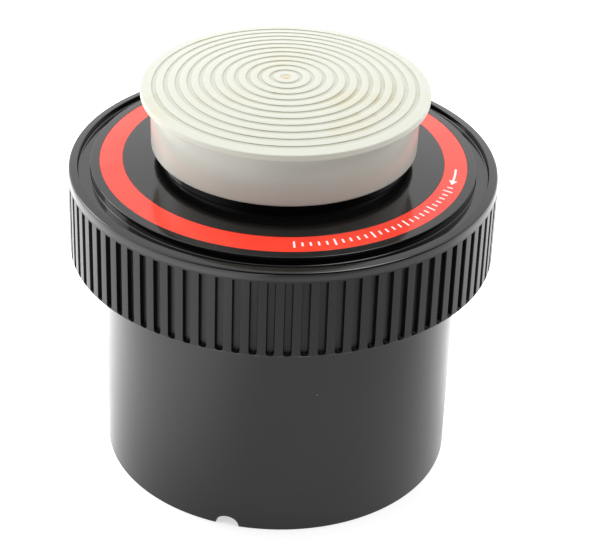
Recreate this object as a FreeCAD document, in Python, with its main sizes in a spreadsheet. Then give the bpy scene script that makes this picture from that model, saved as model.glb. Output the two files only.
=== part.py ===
import FreeCAD, Part
import math
import os
import Sketcher

# Film developing tank for one 35 mm reel: tank, screw lid with a light-trap funnel,
# push-on cap, and the column, reel and clip inside.
# Frame: origin at the centre of the base rim, +Z up the axis, front at -Y, millimetres.

SIZES = {
    # tank
    "tank_radius": 51.0,
    "tank_top_radius": 51.25,
    "tank_bore_radius": 48.8,
    "tank_rim_height": 89.0,
    "base_recess": 3.2,
    "floor_height": 5.5,
    "notch_radius": 3.47,
    "notch_drop": 0.35,
    "notch_bearing": 15.1,
    "boss_radius": 8.3,
    "boss_height": 1.2,
    # three-start screw thread between tank and lid
    "thread_spacing": 4.0,
    "thread_starts": 3,
    "thread_turns": 0.5,
    "thread_height": 77.5,
    "thread_depth": 1.4,
    "thread_root": 1.9,
    "thread_crest": 0.9,
    "thread_drop": 1.75,
    "thread_embed": 0.4,
    # screw lid
    "lid_radius": 61.0,
    "lid_bottom": 66.3,
    "lid_skirt_inner": 57.5,
    "lip_inner": 58.25,
    "lip_height": 92.5,
    "lip_round": 1.3,
    "channel_height": 90.7,
    "channel_under": 88.7,
    "riser_radius": 54.6,
    "thread_wall_radius": 53.0,
    "thread_wall_bottom": 69.5,
    "plate_edge_height": 93.25,
    "plate_collar_height": 95.2,
    "plate_hole_radius": 35.3,
    "plate_thickness": 2.2,
    "seat_height": 91.2,
    "locating_rib_outer": 48.0,
    "locating_rib_inner": 46.4,
    "locating_rib_bottom": 87.6,
    "slot_count": 83,
    "slot_width": 2.2,
    "slot_depth": 1.25,
    "slot_top": 89.15,
    "slot_bottom": 66.5,
    "slot_bearing": 3.39,
    "overcut": 1.0,
    # label ring in its recess
    "label_inner": 45.47,
    "label_outer": 52.08,
    "label_recess": 0.3,
    "label_thickness": 0.24,
    "label_side_gap": 0.05,
    "label_under_gap": 0.02,
    # gasket
    "gasket_inner": 48.3,
    "gasket_outer": 52.2,
    "gasket_bottom": 89.05,
    "gasket_top": 91.15,
    # funnel
    "collar_radius": 35.25,
    "collar_inner": 33.2,
    "collar_top": 112.0,
    "bead_radius": 35.85,
    "bead_low": 106.0,
    "bead_high": 110.5,
    "bead_ramp": 1.5,
    "bowl_top": 93.0,
    "bowl_under": 90.8,
    "throat_radius": 14.3,
    "throat_top": 80.0,
    "throat_shoulder": 78.6,
    "throat_bottom": 62.0,
    "funnel_wall": 2.0,
    "funnel_flange": 42.0,
    "flange_gap": 0.05,
    # push-on cap
    "cap_radius": 40.45,
    "cap_crown": 118.85,
    "cap_edge_top": 115.75,
    "cap_edge_under": 113.9,
    "cap_rim_round": 0.5,
    "cap_skirt_top": 37.74,
    "cap_skirt_low": 37.5,
    "cap_skirt_inner": 35.92,
    "cap_skirt_bottom": 98.6,
    "cap_ceiling": 114.4,
    "cap_ceiling_low": 113.8,
    "cap_lip_outer": 32.9,
    "cap_lip_inner": 31.4,
    "cap_lip_bottom": 108.0,
    "groove_count": 11,
    "groove_first": 4.08,
    "groove_pitch": 3.264,
    "groove_width": 1.26,
    "groove_depth": 0.5,
    # centre column
    "column_radius": 12.4,
    "column_bore": 8.38,
    "column_bottom": 5.8,
    "column_top": 84.0,
    "socket_radius": 9.2,
    "socket_bottom": 54.0,
    "foot_radius": 30.0,
    "foot_low": 9.5,
    "foot_high": 11.3,
    "foot_skirt_bottom": 8.6,
    "foot_skirt_width": 2.0,
    "foot_gap": 0.02,
    "drain_count": 4,
    "drain_width": 5.0,
    "drain_top": 9.3,
    "key_width": 2.0,
    "key_root_radius": 11.9,
    "key_radius": 13.5,
    "key_top": 30.0,
    # reel
    "reel_bottom": 11.4,
    "reel_radius": 46.5,
    "film_width": 35.4,
    "disc_thickness": 1.6,
    "guide_height": 2.2,
    "guide_width": 1.0,
    "guide_root": 0.2,
    "guide_pitch": 3.2,
    "guide_first": 18.4,
    "guide_half_turns": 17,
    "window_count": 12,
    "window_width": 4.0,
    "window_inner": 20.0,
    "window_outer": 42.0,
    "hub_bore": 12.8,
    "hub_radius": 15.0,
    "hub_top": 44.0,
    "sleeve_bore": 15.06,
    "sleeve_radius": 17.0,
    "sleeve_bottom": 26.0,
    "key_slot_width": 2.7,
    "key_slot_radius": 13.9,
    "cage_bearing": 20.0,
    "cage_radius": 42.4,
    "cage_length": 11.0,
    "cage_depth": 7.0,
    "cage_height": 4.0,
    "pocket_length": 5.2,
    "pocket_width": 3.6,
    "pocket_height": 3.5,
    "pocket_floor": 0.1,
    "ball_radius": 1.6,
    "ball_gap": 0.1,
    # clip
    "clip_inner": 12.46,
    "clip_outer": 17.0,
    "clip_bottom": 53.4,
    "clip_height": 3.0,
    "clip_opening": 9.0,
}

doc = FreeCAD.newDocument("film_developing_tank")
sheet = doc.addObject("Spreadsheet::Sheet", "Sizes")
for row, (alias, value) in enumerate(SIZES.items(), start=1):
    sheet.set("A%d" % row, alias.replace("_", " "))
    sheet.set("B%d" % row, str(value))
    sheet.setAlias("B%d" % row, alias)
doc.recompute()


def formula(text):
    """Write a formula of sheet aliases as a FreeCAD expression."""
    words = []
    for word in text.split():
        words.append("Sizes." + word if word in SIZES else word)
    return " ".join(words)


def size(text):
    """The value of a formula of sheet aliases."""
    return float(sheet.evalExpression(formula(text)))


def bind(item, **formulas):
    """Bind an object's properties to formulas of the sheet."""
    for name, text in formulas.items():
        item.setExpression(name, formula(text))


def plate_height(radius_text):
    """The formula of the lid's sloping top at a radius."""
    slope = "( plate_collar_height - plate_edge_height ) / ( riser_radius - plate_hole_radius )"
    return "plate_collar_height - " + slope + " * ( " + radius_text + " - plate_hole_radius )"


def new_body(label):
    """A PartDesign body for one sub-part."""
    body = doc.addObject("PartDesign::Body", label)
    body.Label = label
    return body


def origin_item(body, role):
    """One of a body's own origin planes or axes."""
    for feature in body.Origin.OriginFeatures:
        if feature.Role == role:
            return feature
    raise ValueError(role)


def plane_sketch(body, name, role, offset=None):
    """A sketch on one of the body's origin planes."""
    sketch = body.newObject("Sketcher::SketchObject", name)
    sketch.AttachmentSupport = (origin_item(body, role), [""])
    sketch.MapMode = "FlatFace"
    if offset is not None:
        sketch.AttachmentOffset = offset
    return sketch


def hold_point(sketch, edge, end, x_text, y_text):
    """Pin one sketch point to formulas of the sheet."""
    for kind, axis, text in (("DistanceX", -2, x_text), ("DistanceY", -1, y_text)):
        if text == "0":
            sketch.addConstraint(Sketcher.Constraint("PointOnObject", edge, end, axis))
            continue
        index = sketch.addConstraint(Sketcher.Constraint(kind, -1, 1, edge, end, size(text)))
        sketch.setExpression("Constraints[%d]" % index, formula(text))


def outline(sketch, points, arcs=None):
    """Close an outline through points; arcs maps a side's index to its radius formula."""
    arcs = arcs or {}
    spots = [FreeCAD.Vector(size(x), size(y), 0) for x, y in points]
    first = sketch.GeometryCount
    ends = []
    for index, spot in enumerate(spots):
        following = spots[(index + 1) % len(spots)]
        if index in arcs:
            radius = size(arcs[index])
            middle = (spot + following) * 0.5
            half = (following - spot).Length / 2
            along = (following - spot).normalize()
            left = FreeCAD.Vector(-along.y, along.x, 0)
            centre = middle + left * math.sqrt(radius ** 2 - half ** 2)
            circle = Part.Circle(centre, FreeCAD.Vector(0, 0, 1), radius)
            begin = math.atan2(spot.y - centre.y, spot.x - centre.x)
            finish = math.atan2(following.y - centre.y, following.x - centre.x)
            sketch.addGeometry(Part.ArcOfCircle(circle, begin, finish), False)
        else:
            sketch.addGeometry(Part.LineSegment(spot, following), False)
        ends.append((first + index, 1))
    for index in range(len(points)):
        before = first + (index - 1) % len(points)
        sketch.addConstraint(Sketcher.Constraint("Coincident", before, 2, first + index, 1))
    for (edge, end), (x_text, y_text) in zip(ends, points):
        hold_point(sketch, edge, end, x_text, y_text)
    for index, text in arcs.items():
        number = sketch.addConstraint(Sketcher.Constraint("Radius", first + index, size(text)))
        sketch.setExpression("Constraints[%d]" % number, formula(text))


def revolve(body, name, points, arcs=None):
    """Revolve an outline in the XZ plane about the axis."""
    sketch = plane_sketch(body, name + "_outline", "XZ_Plane")
    outline(sketch, points, arcs)
    feature = body.newObject("PartDesign::Revolution", name)
    feature.Profile = sketch
    feature.ReferenceAxis = (sketch, ["V_Axis"])
    feature.Angle = 360.0
    doc.recompute()
    return feature


def must_shrink(body, before, name):
    """Stop if a cut took nothing away."""
    if body.Shape.Volume >= before - 1e-6:
        raise RuntimeError(name + " cuts nothing")


def cut_through(body, name, role, points, length_text, level_text=None, turn=None,
                backwards=False):
    """Pocket an outline to a length, from its plane or from a level off it."""
    before = body.Shape.Volume
    sketch = plane_sketch(body, name + "_outline", role, turn)
    if level_text:
        sketch.setExpression("AttachmentOffset.Base.z", formula(level_text))
    outline(sketch, points)
    pocket = body.newObject("PartDesign::Pocket", name)
    pocket.Profile = sketch
    bind(pocket, Length=length_text)
    pocket.Reversed = backwards
    doc.recompute()
    must_shrink(body, before, name)
    return pocket


def pattern(body, name, feature, count_text):
    """Repeat a feature evenly round the axis."""
    around = body.newObject("PartDesign::PolarPattern", name)
    around.Originals = [feature]
    around.Axis = (origin_item(body, "Z_Axis"), [""])
    around.Angle = 360.0
    bind(around, Occurrences=count_text)
    body.Tip = around
    doc.recompute()
    return around


def thread(body, name, root_text, crest_text, height_text):
    """A multi-start screw thread standing on a wall, from its root radius to its crest."""
    sketch = plane_sketch(body, name + "_section", "XZ_Plane")
    outline(sketch, [
        (root_text, height_text + " - thread_root / 2"),
        (crest_text, height_text + " - thread_crest / 2"),
        (crest_text, height_text + " + thread_crest / 2"),
        (root_text, height_text + " + thread_root / 2"),
    ])
    helix = body.newObject("PartDesign::AdditiveHelix", name)
    helix.Profile = sketch
    helix.ReferenceAxis = (sketch, ["V_Axis"])
    helix.Mode = "pitch-turns-angle"
    bind(helix, Pitch="thread_spacing * thread_starts", Turns="thread_turns")
    doc.recompute()
    pattern(body, name + "_starts", helix, "thread_starts")


def make_tank_body():
    """The light-tight tank: straight wall, recessed floor, pivot boss, thread and drain notch."""
    body = new_body("tank_body")
    revolve(body, "tank_wall", [
        ("0", "base_recess"),
        ("tank_bore_radius", "base_recess"),
        ("tank_bore_radius", "0"),
        ("tank_radius", "0"),
        ("tank_top_radius", "tank_rim_height"),
        ("tank_bore_radius", "tank_rim_height"),
        ("tank_bore_radius", "floor_height"),
        ("boss_radius", "floor_height"),
        ("boss_radius", "floor_height + boss_height"),
        ("0", "floor_height + boss_height"),
    ])
    thread(body, "tank_thread", "tank_top_radius - thread_embed",
           "tank_top_radius + thread_depth", "thread_height")
    turn = FreeCAD.Placement(FreeCAD.Vector(), FreeCAD.Vector(0, 1, 0), -size("notch_bearing"))
    before = body.Shape.Volume
    sketch = plane_sketch(body, "drain_notch_outline", "XZ_Plane", turn)
    centre = FreeCAD.Vector(0, -size("notch_drop"), 0)
    sketch.addGeometry(Part.Circle(centre, FreeCAD.Vector(0, 0, 1), size("notch_radius")))
    hold_point(sketch, 0, 3, "0", "- notch_drop")
    number = sketch.addConstraint(Sketcher.Constraint("Radius", 0, size("notch_radius")))
    sketch.setExpression("Constraints[%d]" % number, formula("notch_radius"))
    notch = body.newObject("PartDesign::Pocket", "drain_notch")
    notch.Profile = sketch
    bind(notch, Length="tank_radius + overcut")
    notch.Reversed = True
    doc.recompute()
    must_shrink(body, before, "drain_notch")
    return body


def make_screw_lid():
    """The screw lid: grip skirt, channel, sloping plate, threaded wall and locating rib."""
    label_in = plate_height("label_inner")
    label_out = plate_height("label_outer")
    body = new_body("screw_lid")
    revolve(body, "lid_shell", [
        ("plate_hole_radius", "plate_collar_height - plate_thickness"),
        ("locating_rib_inner", plate_height("locating_rib_inner") + " - plate_thickness"),
        ("locating_rib_inner", "locating_rib_bottom"),
        ("locating_rib_outer", "locating_rib_bottom"),
        ("locating_rib_outer", "seat_height"),
        ("thread_wall_radius", "seat_height"),
        ("thread_wall_radius", "thread_wall_bottom"),
        ("riser_radius", "thread_wall_bottom"),
        ("riser_radius", "channel_under"),
        ("lid_skirt_inner", "channel_under"),
        ("lid_skirt_inner", "lid_bottom"),
        ("lid_radius", "lid_bottom"),
        ("lid_radius", "lip_height - lip_round"),
        ("lid_radius - lip_round", "lip_height"),
        ("lip_inner", "lip_height"),
        ("lip_inner", "channel_height"),
        ("riser_radius", "channel_height"),
        ("riser_radius", "plate_edge_height"),
        ("label_outer", label_out),
        ("label_outer", label_out + " - label_recess"),
        ("label_inner", label_in + " - label_recess"),
        ("label_inner", label_in),
        ("plate_hole_radius", "plate_collar_height"),
    ], arcs={12: "lip_round"})
    thread(body, "lid_thread", "thread_wall_radius + thread_embed",
           "thread_wall_radius - thread_depth", "thread_height - thread_drop")
    turn = FreeCAD.Placement(FreeCAD.Vector(), FreeCAD.Vector(0, 0, 1), size("slot_bearing"))
    slot = cut_through(body, "grip_slot", "XY_Plane", [
        ("lid_radius - slot_depth", "- slot_width / 2"),
        ("lid_radius + overcut", "- slot_width / 2"),
        ("lid_radius + overcut", "slot_width / 2"),
        ("lid_radius - slot_depth", "slot_width / 2"),
    ], "slot_top - slot_bottom", "slot_bottom", turn, backwards=True)
    pattern(body, "grip_slots", slot, "slot_count")
    return body


def make_label_ring():
    """The printed ring that lies in the plate's recess."""
    floor_in = plate_height("label_inner") + " - label_recess"
    floor_out = plate_height("label_outer") + " - label_recess"
    body = new_body("label_ring")
    revolve(body, "ring", [
        ("label_inner + label_side_gap", floor_in + " + label_under_gap"),
        ("label_outer - label_side_gap", floor_out + " + label_under_gap"),
        ("label_outer - label_side_gap", floor_out + " + label_thickness"),
        ("label_inner + label_side_gap", floor_in + " + label_thickness"),
    ])
    return body


def make_lid_gasket():
    """The rubber sealing ring between the tank's rim and the lid."""
    body = new_body("lid_gasket")
    revolve(body, "ring", [
        ("gasket_inner", "gasket_bottom"),
        ("gasket_outer", "gasket_bottom"),
        ("gasket_outer", "gasket_top"),
        ("gasket_inner", "gasket_top"),
    ])
    return body


def make_funnel():
    """The light-trap funnel: collar above the plate, bowl and throat below it."""
    under = "plate_collar_height - plate_thickness - flange_gap"
    flange_top = plate_height("funnel_flange") + " - plate_thickness - flange_gap"
    body = new_body("light_trap_funnel")
    revolve(body, "funnel", [
        ("throat_radius", "throat_bottom"),
        ("throat_radius + funnel_wall", "throat_bottom"),
        ("throat_radius + funnel_wall", "throat_shoulder"),
        ("collar_radius", "bowl_under"),
        ("funnel_flange", flange_top + " - funnel_wall"),
        ("funnel_flange", flange_top),
        ("collar_radius", under),
        ("collar_radius", "bead_low"),
        ("bead_radius", "bead_low + bead_ramp"),
        ("bead_radius", "bead_high - bead_ramp"),
        ("collar_radius", "bead_high"),
        ("collar_radius", "collar_top"),
        ("collar_inner", "collar_top"),
        ("collar_inner", "bowl_top"),
        ("throat_radius", "throat_top"),
    ])
    return body


def make_cap():
    """The flexible push-on cap with its domed, ring-grooved top."""
    rise = "( cap_crown - cap_edge_top )"
    dome_edge = "( cap_radius - cap_rim_round )"
    dome = "( " + dome_edge + " ^ 2 + " + rise + " ^ 2 ) / ( 2 * " + rise + " )"
    body = new_body("push_on_cap")
    revolve(body, "cap_shell", [
        ("0", "cap_ceiling"),
        ("cap_lip_inner", "cap_ceiling"),
        ("cap_lip_inner", "cap_lip_bottom"),
        ("cap_lip_outer", "cap_lip_bottom"),
        ("cap_lip_outer", "cap_ceiling"),
        ("cap_skirt_inner", "cap_ceiling_low"),
        ("cap_skirt_inner", "cap_skirt_bottom"),
        ("cap_skirt_low", "cap_skirt_bottom"),
        ("cap_skirt_top", "cap_edge_under"),
        ("cap_radius - cap_rim_round", "cap_edge_under"),
        ("cap_radius", "cap_edge_under + cap_rim_round"),
        ("cap_radius", "cap_edge_top - cap_rim_round"),
        ("cap_radius - cap_rim_round", "cap_edge_top"),
        ("0", "cap_crown"),
    ], arcs={9: "cap_rim_round", 11: "cap_rim_round", 12: dome})
    before = body.Shape.Volume
    sketch = plane_sketch(body, "grooves_outline", "XZ_Plane")
    for index in range(int(size("groove_count"))):
        centre = "( groove_first + %d * groove_pitch )" % index
        floor = "cap_crown - groove_depth - " + centre + " ^ 2 / ( 2 * " + dome + " )"
        outline(sketch, [
            (centre + " - groove_width / 2", floor),
            (centre + " + groove_width / 2", floor),
            (centre + " + groove_width / 2", floor + " + overcut"),
            (centre + " - groove_width / 2", floor + " + overcut"),
        ])
    groove = body.newObject("PartDesign::Groove", "ring_grooves")
    groove.Profile = sketch
    groove.ReferenceAxis = (sketch, ["V_Axis"])
    groove.Angle = 360.0
    doc.recompute()
    must_shrink(body, before, "ring_grooves")
    return body


def make_centre_column():
    """The hollow column that turns on the tank's boss, with the agitator's socket at its top."""
    body = new_body("centre_column")
    revolve(body, "tube", [
        ("column_bore", "column_bottom"),
        ("column_radius", "column_bottom"),
        ("column_radius", "column_top"),
        ("socket_radius", "column_top"),
        ("socket_radius", "socket_bottom"),
        ("column_bore", "socket_bottom"),
    ])
    drain = cut_through(body, "drain", "XZ_Plane", [
        ("- drain_width / 2", "0"),
        ("drain_width / 2", "0"),
        ("drain_width / 2", "drain_top"),
        ("- drain_width / 2", "drain_top"),
    ], "column_radius + overcut")
    pattern(body, "drains", drain, "drain_count")
    sketch = plane_sketch(body, "keys_outline", "XY_Plane")
    for side in ("", "- "):
        outline(sketch, [
            (side + "key_root_radius", "- key_width / 2"),
            (side + "key_radius", "- key_width / 2"),
            (side + "key_radius", "key_width / 2"),
            (side + "key_root_radius", "key_width / 2"),
        ])
    sketch.AttachmentOffset = FreeCAD.Placement(
        FreeCAD.Vector(0, 0, size("reel_bottom")), FreeCAD.Rotation())
    keys = body.newObject("PartDesign::Pad", "keys")
    keys.Profile = sketch
    bind(keys, Length="key_top - reel_bottom")
    doc.recompute()
    return body


def make_column_foot():
    """The flanged foot pressed on the column, on which the reel stands."""
    body = new_body("column_foot")
    revolve(body, "foot", [
        ("column_radius + foot_gap", "foot_skirt_bottom"),
        ("column_radius + foot_skirt_width", "foot_skirt_bottom"),
        ("column_radius + foot_skirt_width", "foot_low"),
        ("foot_radius - foot_skirt_width", "foot_low"),
        ("foot_radius - foot_skirt_width", "foot_skirt_bottom"),
        ("foot_radius", "foot_skirt_bottom"),
        ("foot_radius", "foot_high"),
        ("column_radius + foot_gap", "foot_high"),
    ])
    return body


def arc_edge(centre_x, radius, upper):
    """Half a circle about a point on the X axis, from one side to the other."""
    side = 1 if upper else -1
    start = FreeCAD.Vector(centre_x + side * radius, 0, 0)
    middle = FreeCAD.Vector(centre_x, side * radius, 0)
    end = FreeCAD.Vector(centre_x - side * radius, 0, 0)
    return Part.Arc(start, middle, end).toShape()


def spiral_guide(label, height_low):
    """The spiral film guide: half circles about two centres, each half a pitch larger."""
    pitch = size("guide_pitch")
    half_width = size("guide_width") / 2
    outer = []
    inner = []
    for turn in range(int(size("guide_half_turns"))):
        centre_x = 0 if turn % 2 == 0 else pitch / 2
        radius = size("guide_first") + turn * pitch / 2
        outer.append(arc_edge(centre_x, radius + half_width, turn % 2 == 0))
        inner.append(arc_edge(centre_x, radius - half_width, turn % 2 == 0))
    start = Part.LineSegment(inner[0].Vertexes[0].Point, outer[0].Vertexes[0].Point).toShape()
    end = Part.LineSegment(outer[-1].Vertexes[-1].Point, inner[-1].Vertexes[-1].Point).toShape()
    loop = Part.Wire(Part.__sortEdges__([start] + outer + [end] + inner))
    solid = Part.Face(loop).extrude(FreeCAD.Vector(0, 0, size("guide_height + guide_root")))
    guide = doc.addObject("Part::Feature", label)
    guide.Shape = solid
    guide.Placement = FreeCAD.Placement(FreeCAD.Vector(0, 0, height_low), FreeCAD.Rotation())
    return guide


def cylinder(name, radius_text, low_text, high_text):
    """A Part cylinder on the axis between two heights."""
    item = doc.addObject("Part::Cylinder", name)
    bind(item, Radius=radius_text, Height="( " + high_text + " ) - ( " + low_text + " )")
    item.setExpression("Placement.Base.z", formula(low_text))
    return item


def block(name, bearing, spans):
    """A Part box turned about the axis; spans are its x, y and z formulas, low and length."""
    item = doc.addObject("Part::Box", name)
    (x_low, x_long), (y_low, y_long), (z_low, z_long) = spans
    bind(item, Length=x_long, Width=y_long, Height=z_long)
    spot = FreeCAD.Vector(size(x_low), size(y_low), size(z_low))
    rotation = FreeCAD.Rotation(FreeCAD.Vector(0, 0, 1), bearing)
    item.Placement = FreeCAD.Placement(rotation.multVec(spot), rotation)
    return item


def fuse(name, items):
    """Fuse Part objects."""
    item = doc.addObject("Part::MultiFuse", name)
    item.Shapes = items
    doc.recompute()
    return item


def cut(name, base, tool):
    """Cut one Part object from another."""
    item = doc.addObject("Part::Cut", name)
    item.Base = base
    item.Tool = tool
    doc.recompute()
    return item


def reel_flange(prefix, disc_low, guide_low, cage_low, pocket_low):
    """A reel half's windowed disc, its spiral guide and the ball's cage."""
    disc = cylinder(prefix + "_disc", "reel_radius", disc_low, disc_low + " + disc_thickness")
    windows = []
    count = int(size("window_count"))
    for index in range(count):
        windows.append(block("%s_window_%d" % (prefix, index), 360.0 * index / count, (
            ("window_inner", "window_outer - window_inner"),
            ("- window_width / 2", "window_width"),
            (disc_low + " - overcut", "disc_thickness + 2 * overcut"))))
    web = cut(prefix + "_web", disc, fuse(prefix + "_windows", windows))
    guide = spiral_guide(prefix + "_guide", size(guide_low))
    bearing = size("cage_bearing")
    cage = block(prefix + "_cage", bearing, (
        ("cage_radius - cage_depth / 2", "cage_depth"),
        ("- cage_length / 2", "cage_length"),
        (cage_low, "cage_height + guide_root")))
    pocket = block(prefix + "_pocket", bearing, (
        ("cage_radius - pocket_width / 2", "pocket_width"),
        ("- pocket_length / 2", "pocket_length"),
        (pocket_low, "pocket_height")))
    film_slit = block(prefix + "_slit", bearing, (
        ("cage_radius - pocket_width / 4", "pocket_width / 2"),
        ("- pocket_length / 2", "pocket_length"),
        (pocket_low + " - 2 * overcut", "pocket_height + 4 * overcut")))
    ribbed = fuse(prefix + "_ribbed", [web, guide, cage])
    return cut(prefix + "_caged", ribbed, fuse(prefix + "_hollow", [pocket, film_slit]))


def make_reel_lower():
    """The lower reel half, whose hub slides on the column and is keyed to it."""
    top = "reel_bottom + disc_thickness"
    flange = reel_flange("lower", "reel_bottom", top + " - guide_root", top + " - guide_root",
                         top + " + pocket_floor")
    hub = cylinder("lower_hub", "hub_radius", "reel_bottom", "hub_top")
    whole = fuse("lower_half", [flange, hub])
    bore = cylinder("lower_bore", "hub_bore", "reel_bottom - overcut", "hub_top + overcut")
    slots = block("lower_key_slots", 0.0, (
        ("- key_slot_radius", "2 * key_slot_radius"),
        ("- key_slot_width / 2", "key_slot_width"),
        ("reel_bottom - overcut", "hub_top - reel_bottom + 2 * overcut")))
    half = cut("reel_lower_half", whole, fuse("lower_way", [bore, slots]))
    half.Label = "reel_lower_half"
    return half


def make_reel_upper():
    """The upper reel half, whose sleeve turns on the lower half's hub."""
    under = "reel_bottom + disc_thickness + film_width"
    flange = reel_flange("upper", under, under + " - guide_height", under + " - cage_height",
                         under + " - pocket_floor - pocket_height")
    sleeve = cylinder("upper_sleeve", "sleeve_radius", "sleeve_bottom", under + " + disc_thickness")
    whole = fuse("upper_half", [flange, sleeve])
    bore = cylinder("upper_bore", "sleeve_bore", "sleeve_bottom - overcut",
                    under + " + disc_thickness + overcut")
    half = cut("reel_upper_half", whole, bore)
    half.Label = "reel_upper_half"
    return half


def make_ball(label, height_text):
    """A steel grip ball at the middle of its pocket."""
    ball = doc.addObject("Part::Sphere", label)
    ball.Label = label
    bind(ball, Radius="ball_radius")
    bearing = math.radians(size("cage_bearing"))
    radius = size("cage_radius")
    ball.Placement = FreeCAD.Placement(
        FreeCAD.Vector(radius * math.cos(bearing), radius * math.sin(bearing), size(height_text)),
        FreeCAD.Rotation())
    return ball


def make_reel_clip():
    """The open clip that is pushed down the column to hold the reel."""
    body = new_body("reel_clip")
    revolve(body, "ring", [
        ("clip_inner", "clip_bottom"),
        ("clip_outer", "clip_bottom"),
        ("clip_outer", "clip_bottom + clip_height"),
        ("clip_inner", "clip_bottom + clip_height"),
    ])
    cut_through(body, "opening", "XY_Plane", [
        ("0", "- clip_opening / 2"),
        ("clip_outer + overcut", "- clip_opening / 2"),
        ("clip_outer + overcut", "clip_opening / 2"),
        ("0", "clip_opening / 2"),
    ], "clip_bottom + clip_height + overcut", backwards=True)
    return body


def check_document():
    """Stop if any object failed to compute."""
    for item in doc.Objects:
        if "Invalid" in item.State or "Error" in item.State:
            raise RuntimeError("%s is %s" % (item.Name, item.State))


def write(items):
    """Check each sub-part and write its STEP file."""
    check_document()
    for item in items:
        if item.Shape.isNull() or not item.Shape.isValid():
            raise RuntimeError(item.Label + " has no valid shape")
    os.makedirs("parts", exist_ok=True)
    for item in items:
        item.Shape.exportStep("parts/%s.step" % item.Label)
        print(item.Label, len(item.Shape.Solids), round(item.Shape.Volume, 1), item.Shape.BoundBox)


film_low = "reel_bottom + disc_thickness"
film_top = film_low + " + film_width"
parts = [
    make_tank_body(),
    make_screw_lid(),
    make_label_ring(),
    make_lid_gasket(),
    make_funnel(),
    make_cap(),
    make_centre_column(),
    make_column_foot(),
    make_reel_lower(),
    make_reel_upper(),
    make_ball("lower_grip_ball", film_low + " + pocket_floor + ball_gap + ball_radius"),
    make_ball("upper_grip_ball", film_top + " - pocket_floor - ball_gap - ball_radius"),
    make_reel_clip(),
]
write(parts)
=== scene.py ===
import math
import bmesh
import bpy
from mathutils import Euler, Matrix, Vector


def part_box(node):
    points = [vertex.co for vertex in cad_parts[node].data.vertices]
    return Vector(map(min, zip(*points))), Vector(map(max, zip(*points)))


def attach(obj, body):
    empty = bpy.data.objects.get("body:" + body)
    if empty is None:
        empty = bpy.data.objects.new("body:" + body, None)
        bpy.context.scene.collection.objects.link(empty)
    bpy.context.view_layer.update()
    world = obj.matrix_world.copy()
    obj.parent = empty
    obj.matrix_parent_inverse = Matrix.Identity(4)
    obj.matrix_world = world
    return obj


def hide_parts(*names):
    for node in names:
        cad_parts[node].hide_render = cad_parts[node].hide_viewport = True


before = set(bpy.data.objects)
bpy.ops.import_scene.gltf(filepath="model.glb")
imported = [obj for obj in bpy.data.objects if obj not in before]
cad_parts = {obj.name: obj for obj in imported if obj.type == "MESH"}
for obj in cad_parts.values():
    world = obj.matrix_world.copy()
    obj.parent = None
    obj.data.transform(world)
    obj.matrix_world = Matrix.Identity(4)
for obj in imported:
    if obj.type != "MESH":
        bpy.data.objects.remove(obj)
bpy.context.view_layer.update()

# Film developing tank. Sizes of the object are in millimetres and turned into metres by MM.
# The stage's sizes, the camera's place and the lights' places are in metres.

MM = 0.001
DEG = math.pi / 180
EVEN_STEPS = 360
ARC_STEPS = 3
SHARP_ANGLE = 40
WHITE = (1, 1, 1, 1)


def reach(node):
    """A round CAD node's outer radius, bottom and top, in millimetres."""
    low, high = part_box(node)
    return high.x / MM, low.z / MM, high.z / MM


tank_rim = reach("tank_body")[2]
lid_radius, lid_bottom, plate_peak = reach("screw_lid")
funnel_flange, throat_bottom, collar_top = reach("light_trap_funnel")
cap_radius, cap_skirt_bottom, cap_crown = reach("push_on_cap")

# Camera: its place in metres, its turn in degrees, its lens and its clipping distances.
CAMERA_SPOT = (0.0, -0.5116, 0.3687)
CAMERA_TURN = (58.46, -1.715, 0.407)
CAMERA_LENS = 122.7
CAMERA_CLIP = (0.02, 20)

# Stage. The floor's glow ramps are (from, to, glow at from, glow at to), along Y, X and Y.
FLOOR_HALF = 4.0
FLOOR_DARK = (0.49, 0.49, 0.49, 1)
FLOOR_LIGHT = (0.51, 0.51, 0.51, 1)
FLOOR_FRONT_GLOW = (-0.15, -0.42, 0.6, 0.02)
FLOOR_LEFT_GLOW = (-0.01, -0.11, 0.0, 0.95)
FLOOR_BACK_GLOW = (-0.04, 0.06, 0.0, 0.65)

# World glows: a leaning direction, the lean from and to, and the strength at each.
GLOW_BEHIND = ((-0.25, 0.9, 0.4), -0.42, 0.34, 0.04, 1.35)
GLOW_BESIDE = ((-1.0, 0.1, 0.1), 0.3, 0.9, 0.0, 0.45)

# Light panels: name, place, side length and watts.
PANELS = (
    ("top_panel", (0.5, -0.25, 1.1), 0.6, 5.5),
    ("side_panel", (-0.98, 0.45, 0.57), 0.45, 3.2),
)
PANEL_AIM = (0, 0, 0.05)

# Tank wall and base.
TANK_RADIUS = 51.0
TANK_TOP_RADIUS = 51.25
TANK_BORE = 48.8
BASE_RECESS = 3.2
FLOOR_HEIGHT = 5.5
BOSS_RADIUS = 8.3
BOSS_HEIGHT = 1.2
FOOT_ROUND = 0.25
NOTCH_HALF_WIDE = 3.45
NOTCH_HEIGHT = 2.9
NOTCH_ANGLE = -105.1
NOTCH_STEPS = 28
NOTCH_MARGIN = 1.1
NOTCH_CLEARANCE = 0.5

# Three-start thread.
THREAD_LEAD = 12.0
THREAD_STARTS = 3
THREAD_TURNS = 0.5
THREAD_HEIGHT = 77.5
THREAD_DROP = 1.75
THREAD_DEPTH = 1.4
THREAD_ROOT = 1.9
THREAD_CREST = 0.9
THREAD_EMBED = 0.3
THREAD_STEPS = 90

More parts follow.
